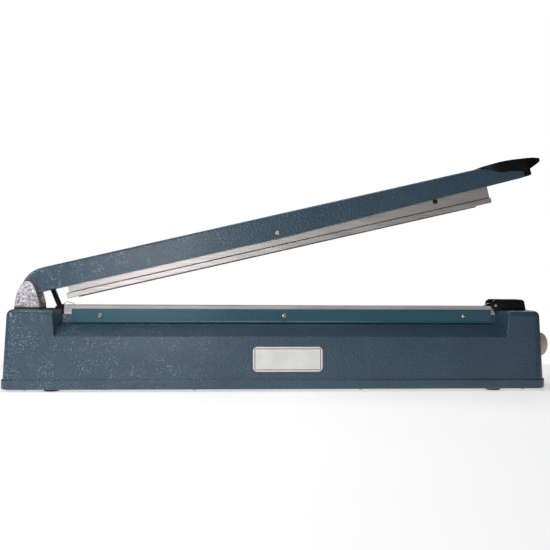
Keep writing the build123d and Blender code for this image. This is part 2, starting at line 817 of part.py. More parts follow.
def guide_block_screws():
    seat = guide_top - guide_counterbore
    screws = []
    for x, y in guide_screws:
        screw = machine_screw(guide_screw_radius, seat - casing_top + casing_wall + 1.5, 2.9, 1.9)
        screws.append(Pos(x, y, seat) * Rot(0, 0, 25 + 60 * len(screws)) * screw)
    return Compound(screws)


def guide_side_screws():
    screws = []
    for side in (-1, 1):
        screw = machine_screw(guide_side_screw_radius, guide_half - slot_half - 1.2, 2.0, 1.0)
        place = Pos(guide_side_screw_x, side * guide_half, guide_side_screw_z)
        screws.append(place * Rot(-90 * side, 0, 0) * screw)
    return Compound(screws)


def switch_plunger():
    head = block(plunger_left, plunger_right, -plunger_half, plunger_half, head_bottom, head_top)
    head = fillet(head.edges().group_by(Axis.Z)[-1], 0.8)
    stem = rod_z(plunger_stem, plunger_x, 0, switch_top + plunger_travel + 0.4, head_bottom)
    button = rod_z(switch_button, plunger_x, 0, switch_top - 1.5, switch_top + plunger_travel + 0.4)
    return head + stem + button


def microswitch():
    body = block(switch_left, switch_left + switch_length, -switch_half, switch_half,
                 switch_top - switch_height, switch_top)
    body -= rod_z(switch_button + 0.1, plunger_x, 0, switch_top - 5, switch_top + 1)
    for dx in switch_screw_stations:
        body -= rod_y(switch_screw_radius, switch_left + dx, -10, 10, switch_screw_z)
    for dx in (1.5, 9.0, 16.5):
        body += block(switch_left + dx, switch_left + dx + 2.5, -0.3, 0.3,
                      switch_top - switch_height - 4, switch_top - switch_height)
    return body


def microswitch_bracket():
    """Bent sheet: hangs from the casing roof and carries the switch on its upright."""
    roof = casing_top - casing_wall
    x0 = switch_left + 2.0
    x1 = switch_left + switch_length - 2.0
    sheet = block(x0, x1, switch_half, switch_half + switch_sheet, switch_top - switch_height + 0.7, roof)
    sheet += block(x0, x1, switch_half, 13.5, roof - switch_sheet, roof)
    for dx in switch_screw_stations:
        sheet -= rod_y(switch_screw_radius, switch_left + dx, 0, 10, switch_screw_z)
    return sheet


def microswitch_screws():
    screws = []
    for dx in switch_screw_stations:
        screw = machine_screw(switch_screw_radius, 2 * switch_half + 2.6, 2.2, 1.4)
        screws.append(Pos(switch_left + dx, -switch_half, switch_screw_z) * Rot(90, 0, 0) * screw)
    return Compound(screws)


# ---------------------------------------------------------------- transformer
def transformer_core():
    yoke = core_leg / 2
    stack = core_stack / 2
    core = block(core_x - stack, core_x + stack, -core_width / 2, core_width / 2, core_low, core_top)
    for side in (-1, 1):
        y0 = side * core_leg / 2
        y1 = side * (core_leg / 2 + core_window)
        core -= block(core_x - core_stack, core_x + core_stack, min(y0, y1), max(y0, y1),
                      core_low + yoke, core_top - yoke)
    return core


def transformer_coil():
    leg = core_leg / 2
    half = leg + core_window - coil_clearance
    low = core_low + leg + coil_clearance
    high = core_top - leg - coil_clearance
    coil = block(core_x - coil_reach, core_x + coil_reach, -half, half, low, high)
    coil = fillet(coil.edges().filter_by(Axis.Z), 6)
    return coil - block(core_x - core_stack / 2, core_x + core_stack / 2, -leg, leg, low - 1, high + 1)


def transformer_frame():
    """Strap over the core with two feet on each side, bolted to the base plate."""
    t = core_strap
    x0 = core_x - 9
    x1 = core_x + 9
    y = core_width / 2
    frame = block(x0, x1, -y - t, y + t, plate_top, core_top + t)
    frame -= block(x0 - 1, x1 + 1, -y, y, plate_top + t, core_top)
    frame += block(core_x - core_bolt_x - 6, core_x + core_bolt_x + 6, -core_bolt_y - 6, core_bolt_y + 6,
                   plate_top, plate_top + t)
    for x, y in core_bolts:
        frame -= rod_z(core_bolt_radius, x, y, 0, plate_top + 5)
    return frame


def transformer_screws():
    screws = []
    for x, y in core_bolts:
        screw = machine_screw(core_bolt_radius, plate_thickness + core_strap + 0.6, 3.6, 2.2)
        screws.append(Pos(x, y, plate_top + core_strap) * Rot(0, 0, 40 * (1 + len(screws))) * screw)
    return Compound(screws)


# ---------------------------------------------------------------- timer, lamp, grommet
def dial_plate():
    plate = pad_prism(pad_face, dial_face, 1.0)
    plate -= rod_x(panel_bush_radius + 0.1, pad_face - 1, pad_face + 5, 0, knob_axis_z)
    return plate - rod_x(lamp_radius + 0.1, pad_face - 1, pad_face + 5, 0, lamp_z)


def potentiometer():
    body = rod_x(pot_radius, pot_left, panel_inside, 0, knob_axis_z)
    body += rod_x(panel_bush_radius, panel_inside, bush_end, 0, knob_axis_z)
    return body - rod_x(shaft_radius + running_clearance, pot_left + 3, bush_end + 1, 0, knob_axis_z)


def panel_nut():
    nut = Plane.YZ.offset(dial_face) * Pos(0, knob_axis_z) * RegularPolygon(panel_nut_radius, 6)
    nut = extrude(nut, amount=2.2, dir=(1, 0, 0))
    return nut - rod_x(panel_bush_radius, pad_face, pad_face + 8, 0, knob_axis_z)


def timer_shaft():
    return rod_x(shaft_radius, pot_left + 3.5, knob_face - 5, 0, knob_axis_z)


def timer_knob():
    knob = rod_x(knob_radius, knob_base, knob_face, 0, knob_axis_z)
    knob = fillet(knob.edges().sort_by(Axis.X)[-1], 5.0)
    knob -= rod_x(knob_radius - 4, knob_base - 1, knob_base + 9, 0, knob_axis_z)
    knob += rod_x(shaft_radius + 2.2, bush_end + 0.6, knob_face - 6, 0, knob_axis_z)
    knob -= rod_x(shaft_radius, knob_base - 1, knob_face - 5, 0, knob_axis_z)
    for k in range(knob_flutes):
        angle = radians(360 / knob_flutes * k)
        y = (knob_radius + 0.5) * cos(angle)
        z = knob_axis_z + (knob_radius + 0.5) * sin(angle)
        knob -= rod_x(1.1, knob_base + 3, knob_face + 1, y, z)
    pointer = block(knob_face - 0.6, knob_face + 1, -0.8, 0.8, knob_axis_z + 5, knob_axis_z + knob_radius)
    return knob - pointer


def indicator_lamp():
    lamp = rod_x(lamp_radius, pad_face - 14, dial_face, 0, lamp_z)
    bezel = rod_x(lamp_radius + 1.5, dial_face, dial_face + 1.2, 0, lamp_z)
    lens = rod_x(lamp_radius - 0.6, dial_face, dial_face + 2.6, 0, lamp_z)
    lens = fillet(lens.edges().sort_by(Axis.X)[-1], 1.3)
    return lamp + bezel + lens


def timer_board():
    return block(board_x, pot_left, -30, 30, knob_axis_z - 32, knob_axis_z + 22)


def timer_relay():
    return block(board_x - 16, board_x, -25, -6, knob_axis_z - 22, knob_axis_z + 6)


def timer_capacitor():
    can = rod_x(8.0, board_x - 22, board_x, 14, knob_axis_z - 6)
    return fillet(can.edges().sort_by(Axis.X)[0], 1.0)


def cord_grommet():
    inside = grommet_face - casing_wall - 1.5
    outside = grommet_face + grommet_lip
    ring = rod_y(grommet_hole, grommet_x, inside - grommet_lip, outside, grommet_z)
    ring += rod_y(grommet_hole + grommet_lip, grommet_x, grommet_face, outside, grommet_z)
    ring = fillet(ring.edges().sort_by(Axis.Y)[-1], grommet_lip / 2)
    return ring - rod_y(grommet_bore, grommet_x, inside - 5, grommet_face + 6, grommet_z)


def lead(points, bend, radius):
    """Insulated lead along straight runs joined by arcs."""
    path = FilletPolyline(*points, radius=bend)
    start = Plane(path @ 0, z_dir=path % 0)
    return sweep(start * Circle(radius), path=path)


def element_leads():
    """From the coil to the tab under each end of the bed."""
    coil_left = core_x - coil_reach
    coil_right = core_x + coil_reach
    tab_low = terminal_z - element_spring
    left_x = tail_left + tab_length - 2.0
    right_x = tail_right - tab_length + 2.0
    left = lead([
        (coil_left, -8, coil_mid),
        (coil_left - 30, -8, coil_mid),
        (coil_left - 90, 4, coil_mid + 30),
        (left_x + 90, 4, coil_mid + 30),
        (left_x + 25, 0, coil_mid + 6),
        (left_x, 0, coil_mid + 6),
        (left_x, 0, tab_low),
    ], 10, lead_radius)
    right = lead([
        (coil_right, -8, coil_mid),
        (coil_right + 25, -8, coil_mid),
        (right_x - 25, 0, coil_mid + 12),
        (right_x, 0, coil_mid + 12),
        (right_x, 0, tab_low),
    ], 8, lead_radius)
    return Compound([left, right])


def board_leads():
    """From the coil to the timer board."""
    start = core_x + coil_reach
    leads = []
    for k, y in enumerate((6.0, 10.0)):
        height = knob_axis_z - 28 + 5 * k
        leads.append(lead([
            (start, y, coil_mid - 6),
            (start + 30, y, coil_mid - 6),
            (board_x - 30, y - 22, height),
            (board_x, y - 22, height),
        ], 12, 0.75 * lead_radius))
    return Compound(leads)


def front_label():
    """Blank vinyl label on the drafted front wall."""
    x, z = label_place
    y = wall_inset(z) - wall_width / 2
    sheet = extrude(RectangleRounded(*label_size, 6), amount=label_thickness)
    return Pos(x, y, z) * Rot(90 - casing_draft, 0, 0) * sheet


# ---------------------------------------------------------------- arm
def arm_profile(inset, low):
    """Side outline of the arm shell, inset from the outside; low drops the open lower edge."""
    top_left = (arm_nose_length - arm_nose_back, arm_top - inset)
    centre = (top_left[0], -2.0)
    nose = EllipticalCenterArc(centre, arm_nose_length - inset, arm_top + 2.0 - inset,
                               start_angle=90, arc_size=90)
    ridge = (arm_drop_start, arm_top + arm_rise - inset)
    tip = (arm_length - inset, arm_end_top - inset)
    chin = nose @ 1
    corners = [
        chin,
        (chin.X + 4.5 * (1 if low == 0 else 0), arm_bottom - low),
        (arm_taper_start, arm_bottom - low),
        (tip[0], arm_end_bottom - low),
        tip,
        ridge,
        nose @ 0,
    ]
    return make_face([nose, Polyline(*corners)])


def arm_shell():
    shell = extrude(Plane.XZ * arm_profile(0, 0), amount=arm_half, both=True)
    upper = shell.edges().filter_by(lambda e: e.center().Z > arm_end_top - 4
                                    and abs(e.center().Y) > arm_half - 0.1
                                    and e.length > 20)
    shell = fillet(upper, arm_edge)
    shell -= extrude(Plane.XZ * arm_profile(arm_wall, 30), amount=arm_half - arm_wall, both=True)
    shell += rod_y(hub_radius, 0, -arm_half, arm_half, 0)
    shell -= rod_y(bush_radius, 0, -30, 30, 0)
    shell -= rod_y(bar_pin_radius, bar_pin_u, -30, 30, bar_pin_w)
    for u in handle_screw_stations:
        shell -= rod_z(handle_screw_radius + 0.3, u, 0, 0, 40)
    shell -= rod_z(seat_stud_radius, seat_u, 0, 0, 40)
    return shell


def hinge_bush():
    bush = rod_y(bush_radius, 0, -arm_half - 0.05, arm_half + 0.05, 0)
    return bush - rod_y(hinge_pin_radius + running_clearance, 0, -30, 30, 0)


def upper_spring_seat():
    """Stud under the arm's roof with a flange and a spigot for the spring's upper end."""
    roof = arm_top - arm_wall
    stem = rod_z(5.0, seat_u, 0, seat_w + 1.5, roof)
    head = Pos(seat_u, 0, seat_w) * Rot(0, seat_tilt, 0)
    flange = head * Pos(0, 0, 1.5) * Cylinder(5.4, 3.0)
    spigot = head * Pos(0, 0, -2.5) * Cylinder(spring_radius - spring_wire / 2 - 0.3, 5.0)
    return stem + flange + spigot + rod_z(seat_stud_radius, seat_u, 0, roof, arm_top - 0.8)


def bar_pivot_screw():
    screw = machine_screw(bar_pin_radius, 2 * arm_half + 5, 3.0, 1.8)
    return Pos(bar_pin_u, -arm_half, bar_pin_w) * Rot(90, 0, 0) * Rot(0, 0, 20) * screw


def bar_pivot_nut():
    nut = Plane.XZ.offset(-arm_half) * Pos(bar_pin_u, bar_pin_w) * RegularPolygon(3.9, 6)
    nut = extrude(nut, amount=3.0, dir=(0, 1, 0))
    return nut - rod_y(bar_pin_radius, bar_pin_u, 0, 40, bar_pin_w)


def bar_pivot_spacers():
    spacers = []
    for side in (-1, 1):
        tube = rod_y(bar_pin_radius + 1.5, bar_pin_u, side * (web_half + 0.3),
                     side * (arm_half - arm_wall), bar_pin_w)
        spacers.append(tube - rod_y(bar_pin_radius, bar_pin_u, -30, 30, bar_pin_w))
    return Compound(spacers)


def shell_roof(u):
    """Height of the shell's sloped end above the arm's axis."""
    share = (u - arm_drop_start) / (arm_length - arm_drop_start)
    return arm_top + arm_rise + (arm_end_top - arm_top - arm_rise) * share


def handle():
    """Duck-bill grip: a moulding over the sloped end of the shell, with short cheeks and a tongue."""
    end = arm_length
    low = arm_end_bottom
    start = (arm_drop_start - 0.6, arm_top + arm_rise + 0.4)
    crown = Spline(start, (end - 54, 29.4), (end - 32, 30.2), (end - 10, 28.8), (end + 10, 26.4),
                   (end + 24.5, 23.8), tangents=[(0.95, 0.3), (1, -0.22)])
    beak = ThreePointArc(crown @ 1, (end + 28.4, 21.8), (end + 26.3, 19.4))
    under = Polyline(
        beak @ 1, (end + 13, low + 12.2), (end + 5.4, low + 9.2), (end + 5.4, low + 1.2), (end + 2.6, low),
        (end - 3, low + 0.4), (end - 3, low + 9), (end - 24, low + 12.6), (end - 33, low + 12.8),
        (end - 40, low + 15.4), (end - 50, low + 21.2), start)
    body = extrude(Plane.XZ * make_face([crown, beak, under]), amount=40, both=True)
    nose = EllipticalCenterArc((end - 30, 0), arm_end_slope - 28, handle_half, start_angle=90, arc_size=180)
    tail = EllipticalCenterArc((end + 2, 0), 27, handle_half + 1.5, start_angle=-90, arc_size=180)
    plan = make_face([nose, Line(nose @ 1, tail @ 0), tail, Line(tail @ 1, nose @ 0)])
    body &= Pos(0, 0, -40) * extrude(plan, amount=120)
    body -= extrude(Plane.XZ * arm_profile(0, 0), amount=arm_half + 0.05, both=True)
    for u in handle_screw_stations:
        body -= rod_z(handle_screw_radius, u, 0, 0, shell_roof(u) + 6)
    return body


def handle_screws():
    screws = []
    for u in handle_screw_stations:
        under = shell_roof(u) - arm_wall - 1.2
        screw = machine_screw(handle_screw_radius, 8.0, 2.6, 1.6)
        screws.append(Pos(u, 0, under) * Rot(180, 0, 0) * screw)
    return Compound(screws)


# ---------------------------------------------------------------- press bar
def press_bar():
    rail = [
        (-bar_half, bar_rail_bottom + 0.5),
        (-bar_half + 0.5, bar_rail_bottom),
        (-rubber_half, bar_rail_bottom),
        (-rubber_half, bar_rail_bottom + 1.2),
        (-rubber_half - 1.6, bar_rail_bottom + 1.2),
        (-rubber_half - 1.6, bar_slot_top),
    ]
    side = [
        (-web_half + web_wall, bar_groove + 3.0),
        (-web_half + web_wall, bar_top),
        (-web_half, bar_top),
        (-web_half, bar_groove + 0.9),
        (-web_half + 0.8, bar_groove),
        (-bar_half, bar_groove - 0.8),
    ]
    mirrored = [(-y, z) for y, z in reversed(rail)]
    side_mirrored = [(-y, z) for y, z in side]
    section = rail + mirrored + list(reversed(side_mirrored)) + side
    bar = along_x(section, bar_start, bar_end)
    bar -= block(bar_start - 1, bar_start + web_setback_left, -20, 20, bar_groove, bar_top + 1)
    bar -= block(bar_end - web_setback_right, bar_end + 1, -20, 20, bar_groove, bar_top + 1)
    bar -= rod_y(bar_pin_radius + running_clearance, bar_pin_u, -20, 20, bar_pin_w)
    bar -= rod_y(side_screw_radius, side_screw_u, -20, 20, side_screw_w)
    return bar


def silicone_strip():
    section = [
        (-rubber_half + 0.3, rubber_bottom),
        (rubber_half - 0.3, rubber_bottom),
        (rubber_half - 0.1, rubber_bottom + 0.3),
        (rubber_half - 0.1, bar_rail_bottom + 1.4),
        (rubber_half + 1.5, bar_rail_bottom + 1.4),
        (rubber_half + 1.5, bar_slot_top - 0.2),
        (-rubber_half - 1.5, bar_slot_top - 0.2),
        (-rubber_half - 1.5, bar_rail_bottom + 1.4),
        (-rubber_half + 0.1, bar_rail_bottom + 1.4),
        (-rubber_half + 0.1, rubber_bottom + 0.3),
    ]
    start = arch_left + rubber_end_gap - pin_x_closed + bar_pin_u
    end = arch_right - rubber_end_gap - pin_x_closed + bar_pin_u
    return along_x(section, start, end)


def bar_side_screw():
    dome = Cylinder(3.4, 3.0, align=(Align.CENTER, Align.CENTER, Align.MIN))
    dome = fillet(dome.edges().group_by(Axis.Z)[-1], 2.2)
    length = 2 * web_half + 3
    shank = Pos(0, 0, -length / 2) * Cylinder(side_screw_radius - thread_clearance, length)
    return Pos(side_screw_u, -web_half, side_screw_w) * Rot(90, 0, 0) * (dome + shank)


def bar_side_nut():
    nut = Plane.XZ.offset(-web_half) * Pos(side_screw_u, side_screw_w) * RegularPolygon(3.2, 6)
    nut = extrude(nut, amount=2.4, dir=(0, 1, 0))
    return nut - rod_y(side_screw_radius, side_screw_u, 0, 40, side_screw_w)


# ---------------------------------------------------------------- write every node
FIXED = [
    base_casing, base_plate, base_plate_screws, rubber_feet, foot_screws, bed_bar, bed_bar_screws,
    insulating_tape, heating_element, element_springs, terminal_blocks, terminal_screws, ptfe_cover,
    clamp_screws, hinge_gasket, hinge_bracket, hinge_bracket_screws, hinge_pin, hinge_washers,
    spring_seat, return_spring, guide_block, guide_block_screws, guide_side_screws, switch_plunger,
    microswitch, microswitch_bracket, microswitch_screws, transformer_core, transformer_coil,
    transformer_frame, transformer_screws, dial_plate, potentiometer, panel_nut, timer_shaft,
    timer_knob, indicator_lamp, timer_board, timer_relay, timer_capacitor, cord_grommet,
    element_leads, board_leads, front_label,
]
ON_ARM = [
    arm_shell, hinge_bush, upper_spring_seat, bar_pivot_screw, bar_pivot_nut, bar_pivot_spacers,
    handle, handle_screws, press_bar, silicone_strip, bar_side_screw, bar_side_nut,
]
for piece in FIXED:
    save(piece.__name__, piece())
save("clamp_strip_front", clamp_strip(-1))
save("clamp_strip_rear", clamp_strip(1))
for piece in ON_ARM:
    save(piece.__name__, arm_place(piece()))
print("arm travel to closed, degrees:", round(arm_travel, 4))
print("press bar turn on the arm when closed, degrees:", round(closed_tilt, 4))
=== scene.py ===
import json
import math

import bmesh
import bpy
from mathutils import Matrix, Vector

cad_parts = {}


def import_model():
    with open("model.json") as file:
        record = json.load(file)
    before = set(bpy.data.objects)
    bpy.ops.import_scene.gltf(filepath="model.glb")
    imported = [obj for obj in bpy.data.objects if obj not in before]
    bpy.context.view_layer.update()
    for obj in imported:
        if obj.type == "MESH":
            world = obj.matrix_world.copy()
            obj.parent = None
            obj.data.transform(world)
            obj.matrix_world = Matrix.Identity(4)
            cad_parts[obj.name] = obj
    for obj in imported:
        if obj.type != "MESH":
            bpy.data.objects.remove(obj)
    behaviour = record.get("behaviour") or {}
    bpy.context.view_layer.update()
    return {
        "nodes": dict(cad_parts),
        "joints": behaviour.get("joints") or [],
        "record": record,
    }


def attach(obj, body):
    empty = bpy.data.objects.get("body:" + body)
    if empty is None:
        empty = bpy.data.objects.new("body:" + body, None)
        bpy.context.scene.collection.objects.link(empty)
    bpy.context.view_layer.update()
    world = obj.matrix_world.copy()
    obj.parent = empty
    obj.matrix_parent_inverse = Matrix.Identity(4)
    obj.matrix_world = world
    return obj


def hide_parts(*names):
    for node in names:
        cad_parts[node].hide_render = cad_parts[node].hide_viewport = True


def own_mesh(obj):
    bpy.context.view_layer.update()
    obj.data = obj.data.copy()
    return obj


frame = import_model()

# Impulse heat sealer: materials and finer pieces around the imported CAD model. Metres throughout.
nodes = frame["nodes"]
hinge = next(joint for joint in frame["joints"] if joint["name"] == "arm_hinge")
PIVOT = Vector(hinge["pos_m"])

MM = 0.001
SMOOTH = math.radians(35)        # edges sharper than this stay sharp in the shading
WAVE_PERIOD = 0.314              # metres between the bands of a wave texture at scale 1


def middle_and_half(node):
    """Middle and half size of a CAD node's box."""
    places = [nodes[node].matrix_world @ vertex.co for vertex in nodes[node].data.vertices]
    low = Vector(min(place[i] for place in places) for i in range(3))
    high = Vector(max(place[i] for place in places) for i in range(3))
    return (low + high) / 2, (high - low) / 2


# ---------------------------------------------------------------- shader helpers
class Paint:
    """A material with a Principled shader, and short calls that add texture nodes to it."""

    def __init__(self, name, colour, roughness, metallic=0.0, **sockets):
        self.material = bpy.data.materials.new(name)
        self.material.use_nodes = True
        self.tree = self.material.node_tree
        self.tree.nodes.clear()
        self.shader = self.tree.nodes.new("ShaderNodeBsdfPrincipled")
        output = self.tree.nodes.new("ShaderNodeOutputMaterial")
        self.tree.links.new(self.shader.outputs["BSDF"], output.inputs["Surface"])
        self.shader.inputs["Base Color"].default_value = (*colour, 1.0)
        self.shader.inputs["Roughness"].default_value = roughness
        self.shader.inputs["Metallic"].default_value = metallic
        for socket, value in sockets.items():
            self.shader.inputs[socket.replace("_", " ")].default_value = value
        self.place = self.tree.nodes.new("ShaderNodeTexCoord").outputs["Object"]

    def stretched(self, scale):
        """Object coordinates multiplied axis by axis."""
        mapping = self.tree.nodes.new("ShaderNodeMapping")
        mapping.inputs["Scale"].default_value = scale
        self.tree.links.new(self.place, mapping.inputs["Vector"])
        return mapping.outputs["Vector"]

    def along(self, axis):
        """One object coordinate, in metres."""
        node = self.tree.nodes.new("ShaderNodeSeparateXYZ")
        self.tree.links.new(self.place, node.inputs["Vector"])
        return node.outputs[axis]

    def noise(self, size, detail=2.0, stretch=None):
        """Noise whose features are about size metres across."""
        node = self.tree.nodes.new("ShaderNodeTexNoise")
        node.inputs["Scale"].default_value = 1.0 / size
        node.inputs["Detail"].default_value = detail
        vector = self.stretched(stretch) if stretch else self.place
        self.tree.links.new(vector, node.inputs["Vector"])
        return node.outputs["Fac"]

    def cells(self, size, smooth):
        """Rounded cells about size metres across."""
        node = self.tree.nodes.new("ShaderNodeTexVoronoi")
        node.feature = "SMOOTH_F1"
        node.inputs["Scale"].default_value = 1.0 / size
        node.inputs["Smoothness"].default_value = smooth
        self.tree.links.new(self.place, node.inputs["Vector"])
        return node.outputs["Distance"]

    def waves(self, size, direction, profile="SIN"):
        """Straight bands size metres apart along an axis, and twice as far on the diagonal."""
        node = self.tree.nodes.new("ShaderNodeTexWave")
        node.wave_type = "BANDS"
        node.bands_direction = direction
        node.wave_profile = profile
        node.inputs["Scale"].default_value = WAVE_PERIOD / size
        self.tree.links.new(self.place, node.inputs["Vector"])
        return node.outputs["Fac"]

    def maths(self, operation, a, b=0.0):
        """A math node on sockets or plain numbers."""
        node = self.tree.nodes.new("ShaderNodeMath")
        node.operation = operation
        for socket, value in zip(node.inputs, (a, b)):
            if isinstance(value, (int, float)):
                socket.default_value = value
            else:
                self.tree.links.new(value, socket)
        return node.outputs["Value"]

    def ramp(self, factor, stops):
        """Colour ramp through (position, colour) stops."""
        node = self.tree.nodes.new("ShaderNodeValToRGB")
        band = node.color_ramp
        while len(band.elements) < len(stops):
            band.elements.new(0.5)
        for element, (position, colour) in zip(band.elements, stops):
            element.position = position
            element.color = (*colour, 1.0)
        self.tree.links.new(factor, node.inputs["Fac"])
        return node.outputs["Color"]

    def span(self, factor, low, high, start=0.0, end=1.0):
        """The factor's range start..end mapped to low..high."""
        node = self.tree.nodes.new("ShaderNodeMapRange")
        node.inputs["From Min"].default_value = start
        node.inputs["From Max"].default_value = end
        node.inputs["To Min"].default_value = low
        node.inputs["To Max"].default_value = high
        self.tree.links.new(factor, node.inputs["Value"])
        return node.outputs["Result"]

    def mix(self, factor, a, b):
        """Mixes two colours, given as sockets or as tuples."""
        node = self.tree.nodes.new("ShaderNodeMix")
        node.data_type = "RGBA"
        self.tree.links.new(factor, node.inputs["Factor"])
        # By number: the node has an A, a B and a Result for every data type, under the same names.
        for socket, value in ((node.inputs[6], a), (node.inputs[7], b)):
            if isinstance(value, tuple):
                socket.default_value = (*value, 1.0)
            else:
                self.tree.links.new(value, socket)
        return node.outputs[2]

    def colour(self, socket):
        """Drives the base colour."""
        self.tree.links.new(socket, self.shader.inputs["Base Color"])

    def rough(self, socket):
        """Drives the roughness."""
        self.tree.links.new(socket, self.shader.inputs["Roughness"])

    def bump(self, height, depth, strength):
        """Adds a bump of depth metres on top of the ones given before."""
        node = self.tree.nodes.new("ShaderNodeBump")
        node.inputs["Distance"].default_value = depth
        node.inputs["Strength"].default_value = strength
        self.tree.links.new(height, node.inputs["Height"])
        normal = self.shader.inputs["Normal"]
        if normal.links:
            self.tree.links.new(normal.links[0].from_socket, node.inputs["Normal"])
        self.tree.links.new(node.outputs["Normal"], normal)
        return self


# ---------------------------------------------------------------- materials
def hammertone():
    """Blue-grey hammered enamel: rounded pebbles with bright flecks; the flecks are the enamel's
    own, and their crowding near the hinge is a painted highlight.
    """
    paint = Paint("hammertone", (0.040, 0.076, 0.108), 0.36, 0.15,
                  Coat_Weight=0.30, Coat_Roughness=0.22)
    pebbles = paint.cells(2.8 * MM, 0.5)
    dimples = paint.noise(1.9 * MM, 1.5)
    grain = paint.noise(0.8 * MM, 2.0)
    cloud = paint.noise(70 * MM, 2.0)
    base = paint.ramp(cloud, [(0.35, (0.027, 0.060, 0.094)), (0.65, (0.034, 0.073, 0.110))])
    fleck = paint.ramp(paint.noise(2.0 * MM, 1.0),
                       [(0.56, (0.0, 0.0, 0.0)), (0.72, (1.0, 1.0, 1.0))])
    patch = paint.ramp(paint.noise(24 * MM, 3.0),
                       [(0.38, (0.10, 0.10, 0.10)), (0.62, (0.8, 0.8, 0.8))])
    # Painted sheen: the flecks thin out from the hinge end towards the middle, standing in for
    # glints under the key light.
    painted_sheen_near_hinge = paint.span(paint.along("X"), 0.85, 0.10, -0.34, 0.0)
    flecks_and_painted_glints = paint.maths("MULTIPLY", paint.maths("MULTIPLY", fleck, patch), painted_sheen_near_hinge)
    # Bright fleck colour: the enamel's own flecks, plus a painted highlight where they crowd near
    # the hinge.
    paint.colour(paint.mix(flecks_and_painted_glints, base, (0.36, 0.42, 0.50)))
    paint.rough(paint.span(grain, 0.24, 0.46))
    paint.bump(pebbles, 0.55 * MM, 0.8)
    return paint.bump(dimples, 0.45 * MM, 0.8).material


def strip_paint():
    """Smooth glossy teal enamel on sheet."""
    paint = Paint("strip_paint", (0.010, 0.085, 0.118), 0.25, Coat_Weight=0.35, Coat_Roughness=0.1)
    cloud = paint.noise(35 * MM, 3.0, stretch=(0.25, 1, 1))
    paint.colour(paint.ramp(cloud, [(0.3, (0.004, 0.072, 0.112)), (0.7, (0.008, 0.100, 0.138))]))
    paint.rough(paint.span(paint.noise(4 * MM, 4.0), 0.18, 0.32))
    return paint.bump(paint.noise(3 * MM, 2.0, stretch=(0.3, 1, 1)), 0.05 * MM, 0.4).material


def drawn_metal(name, colour, roughness, streak, contrast):
    """Metal with fine streaks along X from drawing or extruding."""
    dark = tuple(c * (1 - contrast) for c in colour)
    light = tuple(min(1.0, c * (1 + contrast)) for c in colour)
    paint = Paint(name, colour, roughness, 1.0)
    lines = paint.noise(streak, 2.0, stretch=(0.012, 1, 1))
    smear = paint.noise(18 * MM, 4.0, stretch=(0.2, 1, 1))
    both = paint.maths("MULTIPLY", paint.maths("ADD", lines, smear), 0.5)
    paint.colour(paint.ramp(both, [(0.38, dark), (0.62, light)]))
    paint.rough(paint.span(smear, roughness - 0.08, roughness + 0.1))
    return paint.bump(lines, 0.03 * MM, 0.5).material


def cast_metal():
    """Tumbled die casting: bright, mottled and slightly pitted."""
    paint = Paint("cast_aluminium", (0.55, 0.53, 0.58), 0.42, 0.75)
    mottle = paint.noise(2.4 * MM, 5.0)
    pits = paint.cells(1.6 * MM, 0.3)
    paint.colour(paint.ramp(mottle, [(0.36, (0.20, 0.19, 0.22)), (0.52, (0.50, 0.48, 0.53)),
                                     (0.66, (0.78, 0.76, 0.80))]))
    paint.rough(paint.span(mottle, 0.55, 0.32))
    paint.bump(pits, 0.25 * MM, 0.5)
    return paint.bump(mottle, 0.6 * MM, 0.7).material


def small_steel(name, colour, roughness=0.3):
    """Plated steel of screws and pins."""
    dark = tuple(c * 0.7 for c in colour)
    paint = Paint(name, colour, roughness, 1.0)
    wear = paint.noise(1.2 * MM, 4.0)
    paint.colour(paint.ramp(wear, [(0.3, dark), (0.65, colour)]))
    paint.rough(paint.span(wear, roughness + 0.15, roughness - 0.05))
    return paint.bump(paint.noise(0.3 * MM, 2.0), 0.02 * MM, 0.5).material


def moulded(name, colour, roughness, spread=0.15, **sockets):
    """Moulded plastic with a fine spark-eroded texture and faint handling marks."""
    light = tuple(min(1.0, c * (1 + spread)) for c in colour)
    dark = tuple(c * (1 - spread) for c in colour)
    paint = Paint(name, colour, roughness, **sockets)
    cloud = paint.noise(12 * MM, 4.0)
    paint.colour(paint.ramp(cloud, [(0.35, dark), (0.65, light)]))
    paint.rough(paint.span(cloud, roughness - 0.08, roughness + 0.1))
    return paint.bump(paint.noise(0.5 * MM, 3.0), 0.04 * MM, 0.6).material


def woven_cloth():
    """PTFE-coated glass cloth: a fine weave under a waxy coat, unevenly greyed."""
    paint = Paint("ptfe_cloth", (0.50, 0.47, 0.47), 0.42, Coat_Weight=0.3, Coat_Roughness=0.3)
    warp = paint.waves(0.7 * MM, "X")
    weft = paint.waves(0.7 * MM, "DIAGONAL")
    weave = paint.maths("MULTIPLY", warp, weft)
    stain = paint.noise(25 * MM, 4.0, stretch=(0.4, 1, 1))
    base = paint.ramp(stain, [(0.35, (0.40, 0.37, 0.37)), (0.65, (0.54, 0.51, 0.52))])
    paint.colour(paint.mix(paint.span(weave, 0.0, 0.25), base, (0.30, 0.27, 0.26)))
    paint.rough(paint.span(stain, 0.34, 0.5))
    return paint.bump(weave, 0.05 * MM, 0.5).material


def rubber(name, colour, roughness=0.6):
    """Matt rubber with a film of dust."""
    paint = Paint(name, colour, roughness)
    dust = paint.noise(8 * MM, 5.0)
    light = tuple(c * 1.5 + 0.01 for c in colour)
    paint.colour(paint.ramp(dust, [(0.4, colour), (0.75, light)]))
    paint.rough(paint.span(dust, roughness - 0.1, roughness + 0.15))
    return paint.bump(paint.noise(0.4 * MM, 2.0), 0.03 * MM, 0.5).material


def laminations():
    """Varnished transformer sheets stacked along X."""
    paint = Paint("core_steel", (0.10, 0.09, 0.09), 0.45, 0.6)
    sheets = paint.waves(0.5 * MM, "X", "SAW")
    paint.colour(paint.ramp(sheets, [(0.1, (0.03, 0.028, 0.028)), (0.4, (0.14, 0.125, 0.12))]))
    return paint.bump(sheets, 0.08 * MM, 0.6).material


